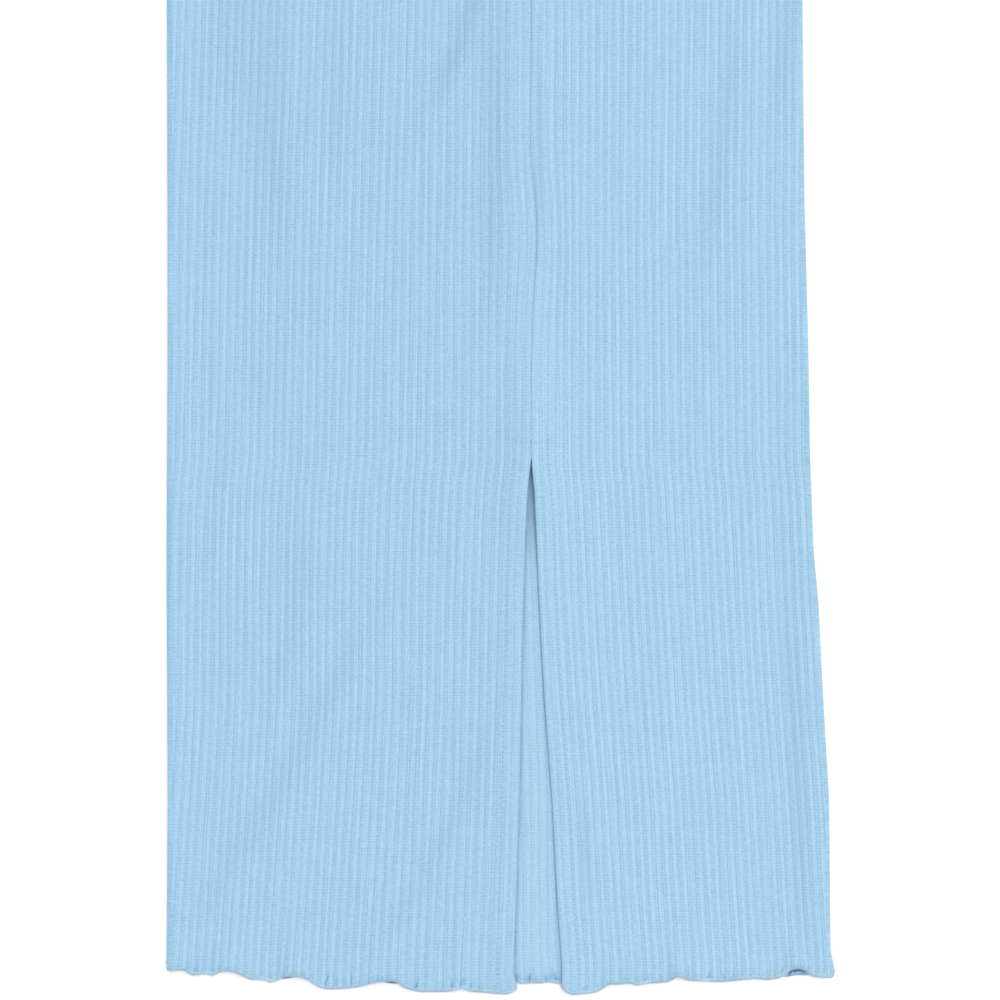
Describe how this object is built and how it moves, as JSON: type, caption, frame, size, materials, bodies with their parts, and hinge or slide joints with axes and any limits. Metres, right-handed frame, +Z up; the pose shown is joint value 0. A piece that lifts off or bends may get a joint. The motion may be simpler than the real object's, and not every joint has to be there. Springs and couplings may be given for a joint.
{
  "type": "knit skirt",
  "caption": "Rib knit midi skirt laid flat, with a slit in the front seam, a wavy overlocked hem and a covered elastic waistband.",
  "frame": {"origin": "on the table surface, under the middle of the skirt's bounding box", "axes": "+X across the skirt to the right as seen from above, +Y from the hem to the waist, +Z up from the surface that the skirt lies on"},
  "size_m": [0.3682, 0.8254, 0.0071],
  "materials": {
    "rib_knit": "matte rib knit, light blue"
  },
  "bodies": {
    "root": {"front_left_panel": "rib_knit", "front_right_panel": "rib_knit", "back_panel": "rib_knit", "waistband": "rib_knit"}
  },
  "joints": []
}
